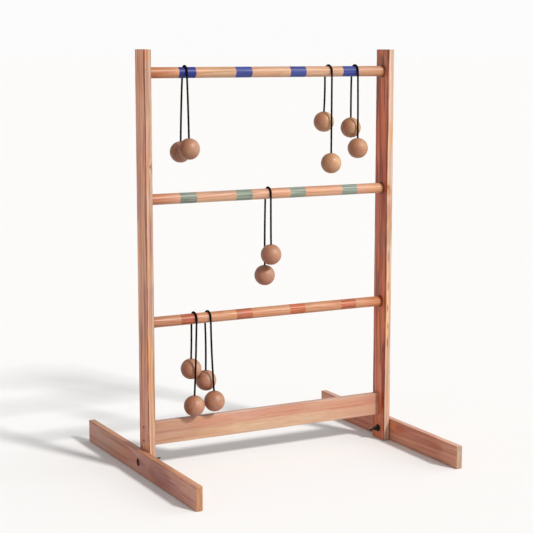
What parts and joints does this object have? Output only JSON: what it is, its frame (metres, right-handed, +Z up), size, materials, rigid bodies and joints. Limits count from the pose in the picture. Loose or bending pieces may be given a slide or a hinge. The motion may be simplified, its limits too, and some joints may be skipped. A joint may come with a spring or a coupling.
{
  "type": "ladder toss frame",
  "caption": "Wooden ladder toss frame with painted bands on its rungs, bolted fold-away feet, a low rail, and roped wooden ball bolas hanging from the rungs.",
  "frame": {"origin": "on the ground, midway between the uprights, in the rungs' own vertical plane", "axes": "+X along the rungs to the right, +Y to the back, +Z up"},
  "size_m": [0.6866, 0.63, 0.97],
  "materials": {
    "pine": "reddish oiled softwood, satin",
    "dowel": "clear lacquered dowel with painted bands",
    "ball_wood": "oiled turned wood, satin",
    "black_steel": "black",
    "steel": "zinc plated",
    "cord": "black braid"
  },
  "bodies": {
    "frame": {"left_upright": "pine", "right_upright": "pine", "top_rung": "dowel", "middle_rung": "dowel", "bottom_rung": "dowel", "bottom_rail": "pine", "left_lower_rail_screw": "steel", "left_upper_rail_screw": "steel", "right_lower_rail_screw": "steel", "right_upper_rail_screw": "steel", "left_washer": "black_steel", "right_washer": "black_steel"},
    "left_foot": {"left_foot": "pine", "left_foot_bolt": "black_steel"},
    "right_foot": {"right_foot": "pine", "right_foot_bolt": "black_steel"},
    "left_wing_nut": {"left_wing_nut": "black_steel"},
    "right_wing_nut": {"right_wing_nut": "black_steel"},
    "bola_1": {"bola_1_cord": "cord", "bola_1_front_ball": "ball_wood", "bola_1_back_ball": "ball_wood", "bola_1_front_knot": "cord", "bola_1_back_knot": "cord"},
    "bola_2": {"bola_2_cord": "cord", "bola_2_front_ball": "ball_wood", "bola_2_back_ball": "ball_wood", "bola_2_front_knot": "cord", "bola_2_back_knot": "cord"},
    "bola_3": {"bola_3_cord": "cord", "bola_3_front_ball": "ball_wood", "bola_3_back_ball": "ball_wood", "bola_3_front_knot": "cord", "bola_3_back_knot": "cord"},
    "bola_4": {"bola_4_cord": "cord", "bola_4_front_ball": "ball_wood", "bola_4_back_ball": "ball_wood", "bola_4_front_knot": "cord", "bola_4_back_knot": "cord"},
    "bola_5": {"bola_5_cord": "cord", "bola_5_front_ball": "ball_wood", "bola_5_back_ball": "ball_wood", "bola_5_front_knot": "cord", "bola_5_back_knot": "cord"},
    "bola_6": {"bola_6_cord": "cord", "bola_6_front_ball": "ball_wood", "bola_6_back_ball": "ball_wood", "bola_6_front_knot": "cord", "bola_6_back_knot": "cord"}
  },
  "joints": [
    {"name": "left_foot_pivot", "type": "hinge", "parent": "frame", "child": "left_foot", "pos_m": [-0.335, 0, 0.0275], "axis": [1, 0, 0], "range_deg": [-90, 90]},
    {"name": "right_foot_pivot", "type": "hinge", "parent": "frame", "child": "right_foot", "pos_m": [0.335, 0, 0.0275], "axis": [1, 0, 0], "range_deg": [-90, 90]},
    {"name": "left_wing_nut_turn", "type": "hinge", "parent": "left_foot", "child": "left_wing_nut", "pos_m": [-0.3035, 0, 0.0275], "axis": [1, 0, 0], "continuous": true},
    {"name": "right_wing_nut_turn", "type": "hinge", "parent": "right_foot", "child": "right_wing_nut", "pos_m": [0.3035, 0, 0.0275], "axis": [1, 0, 0], "continuous": true},
    {"name": "bola_1_swing", "type": "hinge", "parent": "frame", "child": "bola_1", "pos_m": [-0.217, 0, 0.918], "axis": [1, 0, 0], "range_deg": [-60, 60]},
    {"name": "bola_2_swing", "type": "hinge", "parent": "frame", "child": "bola_2", "pos_m": [0.158, 0, 0.918], "axis": [1, 0, 0], "range_deg": [-60, 60]},
    {"name": "bola_3_swing", "type": "hinge", "parent": "frame", "child": "bola_3", "pos_m": [0.231, 0, 0.918], "axis": [1, 0, 0], "range_deg": [-60, 60]},
    {"name": "bola_4_swing", "type": "hinge", "parent": "frame", "child": "bola_4", "pos_m": [-0.004, 0, 0.634], "axis": [1, 0, 0], "range_deg": [-60, 60]},
    {"name": "bola_5_swing", "type": "hinge", "parent": "frame", "child": "bola_5", "pos_m": [-0.1985, 0, 0.352], "axis": [1, 0, 0], "range_deg": [-60, 60]},
    {"name": "bola_6_swing", "type": "hinge", "parent": "frame", "child": "bola_6", "pos_m": [-0.162, 0, 0.352], "axis": [1, 0, 0], "range_deg": [-60, 60]}
  ]
}
